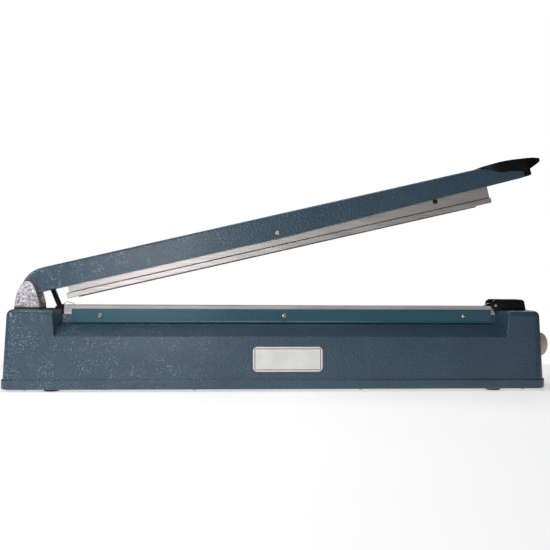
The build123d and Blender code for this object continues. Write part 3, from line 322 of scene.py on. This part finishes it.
def coil_tape():
    """Yellow polyester tape wrapped round the winding."""
    paint = Paint("coil_tape", (0.55, 0.40, 0.06), 0.3, Coat_Weight=0.4)
    wraps = paint.waves(9 * MM, "X", "SAW")
    paint.colour(paint.ramp(wraps, [(0.02, (0.25, 0.17, 0.02)), (0.1, (0.58, 0.43, 0.07))]))
    return paint.bump(wraps, 0.15 * MM, 0.5).material


def circuit_board():
    """Green board with raised, lighter tracks."""
    paint = Paint("circuit_board", (0.02, 0.12, 0.05), 0.35, Coat_Weight=0.5)
    tracks = paint.maths("GREATER_THAN", paint.waves(3 * MM, "Y"), 0.72)
    paint.colour(paint.mix(tracks, (0.02, 0.11, 0.045), (0.035, 0.2, 0.08)))
    return paint.bump(tracks, 0.05 * MM, 0.6).material


def clear_lens():
    """Ribbed red lamp lens."""
    paint = Paint("lamp_red", (0.55, 0.03, 0.015), 0.12, Transmission_Weight=0.55, Coat_Weight=0.6)
    ribs = paint.waves(0.9 * MM, "Y")
    paint.colour(paint.ramp(ribs, [(0.2, (0.35, 0.015, 0.01)), (0.8, (0.65, 0.05, 0.02))]))
    return paint.bump(ribs, 0.1 * MM, 0.4).material


def printed_vinyl():
    """Blank vinyl label, slightly creased, with a thin printed border."""
    paint = Paint("label_vinyl", (0.80, 0.80, 0.79), 0.3, Coat_Weight=0.3, Coat_Roughness=0.1)
    soil = paint.noise(20 * MM, 4.0)
    paper = paint.ramp(soil, [(0.35, (0.76, 0.76, 0.75)), (0.7, (0.86, 0.86, 0.85))])
    middle, half = middle_and_half("front_label")
    inset, line = 2.6 * MM, 0.5 * MM
    x = paint.maths("ABSOLUTE", paint.maths("SUBTRACT", paint.along("X"), middle.x))
    z = paint.maths("ABSOLUTE", paint.maths("SUBTRACT", paint.along("Z"), middle.z))
    edge = paint.maths("MAXIMUM", paint.maths("SUBTRACT", x, half.x - inset),
                       paint.maths("SUBTRACT", z, half.z - inset))
    border = paint.maths("LESS_THAN", paint.maths("ABSOLUTE", edge), line)
    paint.colour(paint.mix(border, paper, (0.30, 0.035, 0.045)))
    return paint.bump(paint.noise(6 * MM, 2.0), 0.06 * MM, 0.4).material


MATERIALS = {
    "hammertone": hammertone(),
    "strip_paint": strip_paint(),
    "zinc_steel": drawn_metal("zinc_steel", (0.58, 0.58, 0.56), 0.42, 0.4 * MM, 0.1),
    "bright_steel": small_steel("bright_steel", (0.62, 0.56, 0.44), 0.30),
    "black_steel": small_steel("black_steel", (0.05, 0.05, 0.055), 0.35),
    "spring_steel": small_steel("spring_steel", (0.42, 0.36, 0.33), 0.32),
    "nichrome": small_steel("nichrome", (0.50, 0.47, 0.43), 0.35),
    "core_steel": laminations(),
    "aluminium": drawn_metal("aluminium", (0.55, 0.52, 0.515), 0.38, 0.9 * MM, 0.24),
    "cast_aluminium": cast_metal(),
    "black_rubber": rubber("black_rubber", (0.016, 0.016, 0.017)),
    "silicone": rubber("silicone", (0.10, 0.095, 0.095), 0.5),
    "ptfe_cloth": woven_cloth(),
    "black_plastic": moulded("black_plastic", (0.0016, 0.0016, 0.002), 0.36,
                             Specular_IOR_Level=0.2),
    "grey_plastic": moulded("grey_plastic", (0.50, 0.40, 0.345), 0.42, spread=0.06),
    "phenolic": moulded("phenolic", (0.05, 0.03, 0.02), 0.35),
    "dial_face": drawn_metal("dial_face", (0.68, 0.69, 0.70), 0.38, 0.2 * MM, 0.06),
    "lamp_red": clear_lens(),
    "circuit_board": circuit_board(),
    "relay_plastic": moulded("relay_plastic", (0.03, 0.09, 0.30), 0.25),
    "capacitor_sleeve": moulded("capacitor_sleeve", (0.02, 0.02, 0.04), 0.25),
    "coil_tape": coil_tape(),
    "lead_pvc": moulded("lead_pvc", (0.35, 0.03, 0.02), 0.35),
    "label_vinyl": printed_vinyl(),
    "brass": small_steel("brass", (0.72, 0.55, 0.26), 0.3),
}


def dress_nodes():
    """Gives every CAD node its slot's material, but zinc to the hinge's pin and washers."""
    for row in frame["record"]["subparts"]:
        piece = nodes[row["node"]]
        piece.data.materials.clear()
        piece.data.materials.append(MATERIALS[row["material_slot"]])
    for node in ("hinge_pin", "hinge_washers"):
        nodes[node].data.materials[0] = MATERIALS["zinc_steel"]


# ---------------------------------------------------------------- studio
FLOOR_HALF = (0.9, 0.65)
FLOOR_MIDDLE = (0.0, -0.33, -0.2 * MM)


def studio():
    """A sheet of pale paper, which ends a little behind the sealer so that no horizon shows."""
    floor = bpy.data.meshes.new("floor")
    grid = bmesh.new()
    bmesh.ops.create_grid(grid, x_segments=3, y_segments=3, size=1.0)
    bmesh.ops.scale(grid, vec=(*FLOOR_HALF, 1.0), verts=grid.verts)
    grid.to_mesh(floor)
    grid.free()
    sheet = bpy.data.objects.new("floor", floor)
    sheet.location = FLOOR_MIDDLE
    bpy.context.scene.collection.objects.link(sheet)
    paper = Paint("paper", (0.93, 0.93, 0.93), 0.9,
                  Emission_Color=(1, 1, 1, 1), Emission_Strength=0.38)
    paper.colour(paper.ramp(paper.noise(0.4),
                            [(0.3, (0.92, 0.92, 0.92)), (0.7, (0.94, 0.94, 0.94))]))
    floor.materials.append(paper.material)


def world():
    """White where the camera sees it, and a faint cool fill as a light."""
    scene = bpy.context.scene
    scene.world = bpy.data.worlds.new("studio")
    scene.world.use_nodes = True
    tree = scene.world.node_tree
    tree.nodes.clear()
    output = tree.nodes.new("ShaderNodeOutputWorld")
    seen = tree.nodes.new("ShaderNodeBackground")
    fill = tree.nodes.new("ShaderNodeBackground")
    pick = tree.nodes.new("ShaderNodeMixShader")
    path = tree.nodes.new("ShaderNodeLightPath")
    seen.inputs["Color"].default_value = (1, 1, 1, 1)
    fill.inputs["Color"].default_value = (0.95, 0.98, 1.0, 1)
    fill.inputs["Strength"].default_value = 0.09
    tree.links.new(path.outputs["Is Camera Ray"], pick.inputs["Fac"])
    tree.links.new(fill.outputs["Background"], pick.inputs[1])
    tree.links.new(seen.outputs["Background"], pick.inputs[2])
    tree.links.new(pick.outputs["Shader"], output.inputs["Surface"])
    scene.view_settings.view_transform = "Standard"
    scene.view_settings.look = "None"


def soft_light(name, place, aim, size, power, colour=(1, 1, 1)):
    """A rectangular area light at place, turned towards aim."""
    data = bpy.data.lights.new(name, "AREA")
    data.shape = "RECTANGLE"
    data.size, data.size_y = size
    data.energy = power
    data.color = colour
    lamp = bpy.data.objects.new(name, data)
    lamp.location = place
    lamp.rotation_euler = (Vector(aim) - Vector(place)).to_track_quat("-Z", "Y").to_euler()
    bpy.context.scene.collection.objects.link(lamp)


def lights():
    """A key from the left, two dim lights on the front faces, one above and one behind."""
    soft_light("key", (-0.85, -0.60, 0.50), (-0.30, 0.0, 0.10), (0.35, 0.35), 4.0,
               (1.0, 0.99, 0.98))
    soft_light("sheen", (-0.27, -1.32, 0.27), (-0.18, 0.0, 0.19), (0.30, 0.22), 2.2)
    soft_light("card", (0.50, -1.70, 0.35), (0.15, 0.0, 0.15), (1.0, 1.0), 0.9, (1.0, 0.97, 0.94))
    soft_light("top", (-0.15, -0.15, 1.2), (-0.05, 0.0, 0.1), (1.0, 0.4), 5.5)
    soft_light("rear", (0.5, 1.0, 0.8), (0.0, 0.0, 0.1), (0.9, 0.6), 3.5)


EYE = Vector((PIVOT.x + 0.2568, -1.2969, 0.1641))
FOCAL_LENGTH = 59.78
TURN_RIGHT, TILT_DOWN, ROLL = (math.radians(angle) for angle in (3.85, 0.19, 0.31))


def camera():
    """Stands 1.3 m in front of the sealer, a little left of its middle, and looks slightly right."""
    data = bpy.data.cameras.new("camera")
    data.sensor_width = 36.0
    data.lens = FOCAL_LENGTH
    eye = bpy.data.objects.new("camera", data)
    turn = Matrix.Rotation(-TURN_RIGHT, 4, "Z") @ Matrix.Rotation(math.pi / 2 - TILT_DOWN, 4, "X")
    eye.matrix_world = Matrix.Translation(EYE) @ turn @ Matrix.Rotation(ROLL, 4, "Z")
    bpy.context.scene.collection.objects.link(eye)
    bpy.context.scene.camera = eye


# ---------------------------------------------------------------- finer pieces
def add_mesh(name, points, faces, material, smooth=True):
    """A new object with a mesh of the points and faces, in world metres."""
    mesh = bpy.data.meshes.new(name)
    mesh.from_pydata(points, [], faces)
    mesh.materials.append(MATERIALS[material])
    mesh.update()
    if smooth:
        mesh.shade_smooth()
    piece = bpy.data.objects.new(name, mesh)
    bpy.context.scene.collection.objects.link(piece)
    return piece


def apply_modifiers(piece):
    """Bakes the piece's modifiers into its mesh."""
    graph = bpy.context.evaluated_depsgraph_get()
    mesh = bpy.data.meshes.new_from_object(piece.evaluated_get(graph))
    piece.modifiers.clear()
    piece.data = mesh


def softened(node, name, body, width, segments=3):
    """A copy of a CAD node with its sharp edges rounded, which stands for the node."""
    mesh = nodes[node].data.copy()
    shape = bmesh.new()
    shape.from_mesh(mesh)
    bmesh.ops.remove_doubles(shape, verts=shape.verts, dist=0.002 * MM)
    bmesh.ops.dissolve_limit(shape, angle_limit=math.radians(2),
                             verts=shape.verts, edges=shape.edges)
    shape.to_mesh(mesh)
    shape.free()
    piece = bpy.data.objects.new(name, mesh)
    bpy.context.scene.collection.objects.link(piece)
    bevel = piece.modifiers.new("bevel", "BEVEL")
    bevel.width = width
    bevel.segments = segments
    bevel.limit_method = "ANGLE"
    bevel.angle_limit = math.radians(30)
    apply_modifiers(piece)
    piece.data.shade_smooth()
    piece.data.set_sharp_from_angle(angle=SMOOTH)
    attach(piece, body)
    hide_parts(node)


def tube_along(points, radius, sides):
    """Vertices and quads of a closed-ended tube through a list of points."""
    verts, faces = [], []
    count = len(points)
    for i, centre in enumerate(points):
        ahead = points[min(i + 1, count - 1)] - points[max(i - 1, 0)]
        ahead.normalize()
        across = ahead.cross(Vector((0, 1, 0)))
        if across.length < 1e-4:
            across = ahead.cross(Vector((1, 0, 0)))
        across.normalize()
        up = across.cross(ahead)
        for k in range(sides):
            angle = 2 * math.pi * k / sides
            verts.append(centre + radius * (math.cos(angle) * across + math.sin(angle) * up))
    for i in range(count - 1):
        for k in range(sides):
            n = (k + 1) % sides
            faces.append((i * sides + k, i * sides + n, (i + 1) * sides + n, (i + 1) * sides + k))
    faces.append(tuple(range(sides - 1, -1, -1)))
    faces.append(tuple((count - 1) * sides + k for k in range(sides)))
    return verts, faces


SPRING_FOOT = PIVOT + Vector((0.0428, 0.0, -0.0240))
SPRING_HEAD = PIVOT + Vector((0.0296, 0.0, 0.0086))
SPRING_RADIUS = 3.2 * MM
SPRING_WIRE = 0.78 * MM
SPRING_TURNS = 20
SPRING_ENDS = 0.05               # share of the wire in each nearly flat end turn
EVEN_RISE = 0.06                 # share of the length that is climbed evenly, end turns included


def return_spring():
    """Close-wound black compression spring between the casing and the arm."""
    run = SPRING_HEAD - SPRING_FOOT
    length = run.length - 2 * SPRING_WIRE
    axis = run.normalized()
    side = Vector((0, 1, 0))
    across = side.cross(axis)
    steps = 24 * SPRING_TURNS
    points = []
    for i in range(steps + 1):
        share = i / steps
        angle = 2 * math.pi * SPRING_TURNS * share
        coiled = min(1.0, max(0.0, (share - SPRING_ENDS) / (1 - 2 * SPRING_ENDS)))
        along = SPRING_WIRE + length * (EVEN_RISE * share + (1 - EVEN_RISE) * coiled)
        points.append(SPRING_FOOT + axis * along
                      + SPRING_RADIUS * (math.cos(angle) * across + math.sin(angle) * side))
    spring = add_mesh("return_spring_coil", *tube_along(points, SPRING_WIRE, 8), "black_steel")
    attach(spring, "base")
    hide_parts("return_spring")
    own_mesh(spring)


COVER_THICKNESS = 0.3 * MM
END_SLOT_HALF = 2.9 * MM         # half the width of the slot beyond each end of the element
STRIP_GAP = 1.0 * MM             # the cloth reaches this far past the strips before it is trimmed
TRIMMED_DEPTH = 10.4 * MM        # what is left of its side beyond the strips
SLOPE_RUN, SLOPE_DROP = 7 * MM, 10 * MM
CLOTH_CORNER = 1.0 * MM
CLOTH_ROWS = 150


def ptfe_sheet():
    """The cloth over the bar: along the top, down both sides and over the sloped right end."""
    middle, half = middle_and_half("ptfe_cover")
    strip_middle, strip_half = middle_and_half("clamp_strip_front")
    element_middle, element_half = middle_and_half("heating_element")
    left, right = middle.x - half.x, middle.x + half.x
    top = middle.z + half.z - COVER_THICKNESS / 2
    side = half.y - COVER_THICKNESS / 2
    element_left = element_middle.x - element_half.x
    element_right = element_middle.x + element_half.x
    slope_start = right - SLOPE_RUN
    held_left = strip_middle.x - strip_half.x - STRIP_GAP
    held_right = strip_middle.x + strip_half.x + STRIP_GAP
    stations = {left, element_left, element_right, held_left, held_right, slope_start,
                right - 0.2 * MM}
    stations |= {left + k * (right - left) / CLOTH_ROWS for k in range(CLOTH_ROWS)}
    stations = sorted(stations)
    corner = CLOTH_CORNER
    rows = []
    for x in stations:
        crest = top - max(0.0, x - slope_start) * SLOPE_DROP / SLOPE_RUN
        low = middle.z - half.z if held_left < x < held_right else top - TRIMMED_DEPTH
        low = min(low, crest - corner)
        wave = 0.05 * MM * math.sin(x / (6.0 * MM)) + 0.04 * MM * math.sin(x / (1.9 * MM) + 1.0)
        across = [(side, low), (side, (low + crest - corner) / 2)]
        across += [(side - corner + corner * math.cos(k * math.pi / 8),
                    crest - corner + corner * math.sin(k * math.pi / 8)) for k in range(5)]
        across += [(y, crest + wave) for y in (7.0 * MM, END_SLOT_HALF)]
        rows.append([(x, -y, z) for y, z in across] + [(x, y, z) for y, z in reversed(across)])
    width = len(rows[0])
    faces = []
    for i in range(len(rows) - 1):
        x = (stations[i] + stations[i + 1]) / 2
        for k in range(width - 1):
            in_slot = k == width // 2 - 1 and not element_left < x < element_right
            if not in_slot:
                here, ahead = i * width + k, (i + 1) * width + k
                faces.append((here, here + 1, ahead + 1, ahead))
    sheet = add_mesh("ptfe_cloth", [point for row in rows for point in row], faces, "ptfe_cloth")
    sheet.data.set_sharp_from_angle(angle=math.radians(50))
    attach(sheet, "base")
    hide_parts("ptfe_cover")


# The knob's profile: millimetres from its back, and radius.
DOME = [(0.0, 3.3), (0.0, 17.4), (0.5, 17.9), (1.6, 18.0), (5.0, 18.0), (9.0, 17.6), (12.5, 16.6),
        (15.0, 15.2), (17.0, 13.0), (18.4, 10.2), (19.2, 7.0), (19.55, 3.5), (19.65, 0.6)]
KNOB_SIDES = 96
FLUTES = 24
FLUTE_DEPTH = 0.35 * MM
FLUTED_RADIUS = 15 * MM          # only the grip, which is wider than this, is fluted
POINTER_HALF = 0.8 * MM
POINTER_LIFT = 0.12 * MM


def lathe(profile, sides, axis_point):
    """Points and faces of a fluted knob turned about X from (x, radius) pairs, back to front."""
    points, faces = [], []
    for x, radius in profile:
        for k in range(sides):
            angle = 2 * math.pi * k / sides
            groove = FLUTE_DEPTH * (0.5 + 0.5 * math.cos(FLUTES * angle))
            r = radius - (groove if radius > FLUTED_RADIUS else 0.0)
            points.append(axis_point + Vector((x, r * math.cos(angle), r * math.sin(angle))))
    for i in range(len(profile) - 1):
        for k in range(sides):
            n = (k + 1) % sides
            faces.append((i * sides + k, i * sides + n, (i + 1) * sides + n, (i + 1) * sides + k))
    faces.append(tuple((len(profile) - 1) * sides + k for k in range(sides)))
    return points, faces


def knob():
    """Smooth domed timer knob with a shallow fluted grip and a painted pointer."""
    middle, half = middle_and_half("timer_knob")
    back = Vector((middle.x - half.x, middle.y, middle.z))
    profile = [(x * MM, r * MM) for x, r in DOME]
    body = add_mesh("knob_dome", *lathe(profile, KNOB_SIDES, back), "grey_plastic")
    body.data.set_sharp_from_angle(angle=SMOOTH)
    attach(body, "knob")
    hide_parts("timer_knob")
    line = []
    for x, r in profile[6:-1]:
        for y in (-POINTER_HALF, POINTER_HALF):
            line.append(back + Vector((x + POINTER_LIFT, y, r + POINTER_LIFT)))
    faces = [(2 * i, 2 * i + 1, 2 * i + 3, 2 * i + 2) for i in range(len(line) // 2 - 1)]
    pointer = add_mesh("knob_pointer", line, faces, "label_vinyl")
    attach(pointer, "knob")


TICKS = 21
TICK_FIRST, TICK_STEP = -150, 15                 # degrees
TICK_INNER = 18.7 * MM
LONG_TICK = (20.9 * MM, 0.35 * MM)               # outer radius and half thickness
SHORT_TICK = (20.1 * MM, 0.18 * MM)


def dial_ticks():
    """Printed scale round the timer knob, every second tick long."""
    middle, half = middle_and_half("dial_plate")
    axis = middle_and_half("timer_knob")[0]
    face = middle.x + half.x + 0.04 * MM
    points, faces = [], []
    for step in range(TICKS):
        angle = math.radians(TICK_FIRST + TICK_STEP * step)
        outer, thick = LONG_TICK if step % 2 == 0 else SHORT_TICK
        along = Vector((0, math.sin(angle), math.cos(angle)))
        aside = Vector((0, math.cos(angle), -math.sin(angle)))
        for r, hand in ((TICK_INNER, -1), (outer, -1), (outer, 1), (TICK_INNER, 1)):
            points.append(Vector((face, axis.y, axis.z)) + r * along + hand * thick * aside)
        faces.append(tuple(range(4 * step + 3, 4 * step - 1, -1)))
    ticks = add_mesh("dial_scale", points, faces, "black_plastic", smooth=False)
    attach(ticks, "base")


SLOT_ANGLES = (52, 48, 25, 70, 15, 95)
HEAD_HEIGHT = 1.6 * MM
SLOT_HALF = 0.17                 # share of the head's radius
SLOT_FLOOR = 0.2                 # share of the head's height


def clamp_screw_heads():
    """Domed heads with a deep slot, three on each clamp strip; a black disc at each slot's floor is
    painted shade.
    """
    middle, half = middle_and_half("clamp_screws")
    radius = half.z
    head = bmesh.new()
    floor = bmesh.new()
    spots = [(x, side) for x in (-1, 0, 1) for side in (-1, 1)]
    for (k, side), angle in zip(spots, SLOT_ANGLES):
        centre = Vector((middle.x + k * (half.x - radius), side * half.y, middle.z))
        dome = bmesh.new()
        bmesh.ops.create_uvsphere(dome, u_segments=32, v_segments=16, radius=1.0)
        bmesh.ops.bisect_plane(dome, geom=dome.verts[:] + dome.edges[:] + dome.faces[:],
                               plane_co=(0, 0, 0), plane_no=(0, 0, 1), clear_inner=True)
        across = Matrix.Rotation(math.radians(angle), 4, "Z") @ Vector((1, 0, 0))
        place = (Matrix.Translation(centre) @ Matrix.Rotation(-side * math.pi / 2, 4, "X")
                 @ Matrix.Translation((0, 0, -HEAD_HEIGHT))
                 @ Matrix.Diagonal((radius, radius, HEAD_HEIGHT, 1.0)))
        for hand in (-1, 1):
            part = dome.copy()
            bmesh.ops.bisect_plane(part, geom=part.verts[:] + part.edges[:] + part.faces[:],
                                   plane_co=across * SLOT_HALF * hand, plane_no=across * hand,
                                   clear_inner=True)
            bmesh.ops.transform(part, matrix=place, verts=part.verts)
            scratch = bpy.data.meshes.new("scratch")
            part.to_mesh(scratch)
            part.free()
            head.from_mesh(scratch)
            bpy.data.meshes.remove(scratch)
        dome.free()
        # Black disc in each slot: painted shade in the slot, where the screw's steel is really
        # bright.
        bmesh.ops.create_circle(floor, cap_ends=True, segments=32, radius=0.97,
                                matrix=place @ Matrix.Translation((0, 0, SLOT_FLOOR)))
    for name, shape, material in (("clamp_screw_heads", head, "bright_steel"),
                                  ("clamp_screw_slot_shade", floor, "black_steel")):
        mesh = bpy.data.meshes.new(name)
        shape.to_mesh(mesh)
        shape.free()
        mesh.materials.append(MATERIALS[material])
        mesh.shade_smooth()
        piece = bpy.data.objects.new(name, mesh)
        bpy.context.scene.collection.objects.link(piece)
        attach(piece, "base")
        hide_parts("clamp_screws")


dress_nodes()
return_spring()
ptfe_sheet()
knob()
dial_ticks()
clamp_screw_heads()
softened("hinge_bracket", "hinge_casting", "base", 0.7 * MM)
softened("guide_block", "guide_moulding", "base", 0.6 * MM)
softened("handle", "handle_moulding", "arm", 1.6 * MM, 4)
studio()
world()
lights()
camera()
